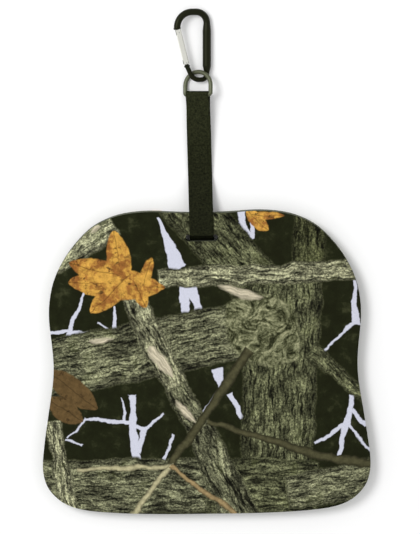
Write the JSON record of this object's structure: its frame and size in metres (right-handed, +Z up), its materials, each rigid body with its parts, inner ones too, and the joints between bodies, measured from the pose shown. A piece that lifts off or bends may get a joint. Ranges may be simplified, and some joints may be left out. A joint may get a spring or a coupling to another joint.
{
  "type": "seat pad",
  "caption": "Flat foam field seat pad with cloth faces, a slot with a webbing hang loop, a D-ring and a spring-gate carabiner.",
  "frame": {"origin": "middle of the pad's underside", "axes": "+Z up through the pad lying flat, +Y towards the hang loop and carabiner, +X to the right seen from above"},
  "size_m": [0.3552, 0.5471, 0.0207],
  "materials": {
    "foam": "matte closed-cell foam",
    "printed_cloth": "printed knit, matte",
    "webbing": "ribbed webbing",
    "thread": "sewing thread",
    "ring_finish": "satin",
    "anodised": "dark satin anodised",
    "polished": "polished",
    "steel": "bright"
  },
  "bodies": {
    "pad": {"foam_core": "foam", "front_cover": "printed_cloth", "back_cover": "printed_cloth", "webbing_wrap": "webbing"},
    "strap": {"webbing_strap": "webbing", "lap_stitches": "thread"},
    "ring": {"d_ring": "ring_finish"},
    "carabiner": {"carabiner_body": "anodised"},
    "gate": {"gate_tube": "polished", "gate_hinge_pin": "steel", "gate_latch_pin": "steel"},
    "plunger": {"gate_plunger": "steel", "gate_spring": "steel"}
  },
  "joints": [
    {"name": "strap_swing", "type": "hinge", "parent": "pad", "child": "strap", "pos_m": [-0.00354, 0.20229, 0.0016], "axis": [0.9999, 0.0157, 0], "range_deg": [-60, 90]},
    {"name": "ring_swing", "type": "hinge", "parent": "strap", "child": "ring", "pos_m": [-0.00491, 0.28998, 0.0104], "axis": [0.9124, 0.0462, 0.4067], "range_deg": [-75, 75]},
    {"name": "carabiner_turn", "type": "hinge", "parent": "ring", "child": "carabiner", "pos_m": [-0.006, 0.3139, 0.0053], "axis": [0.2588, -0.0027, 0.9659], "range_deg": [-80, 30]},
    {"name": "gate_open", "type": "hinge", "parent": "carabiner", "child": "gate", "pos_m": [-0.01704, 0.32413, 0.01045], "axis": [-0.2588, 0.0027, -0.9659], "range_deg": [0, 25], "stiffness_Nm_per_rad": 0.02, "springref_deg": -17.19},
    {"name": "plunger_slide", "type": "slide", "parent": "gate", "child": "plunger", "axis": [-0.2251, 0.9723, 0.0631], "range_m": [0, 0.0008], "deforming": ["gate_spring"]}
  ],
  "couplings": [
    {"joint": "plunger_slide", "follows": "gate_open", "m_per_rad": 0.0017189}
  ]
}
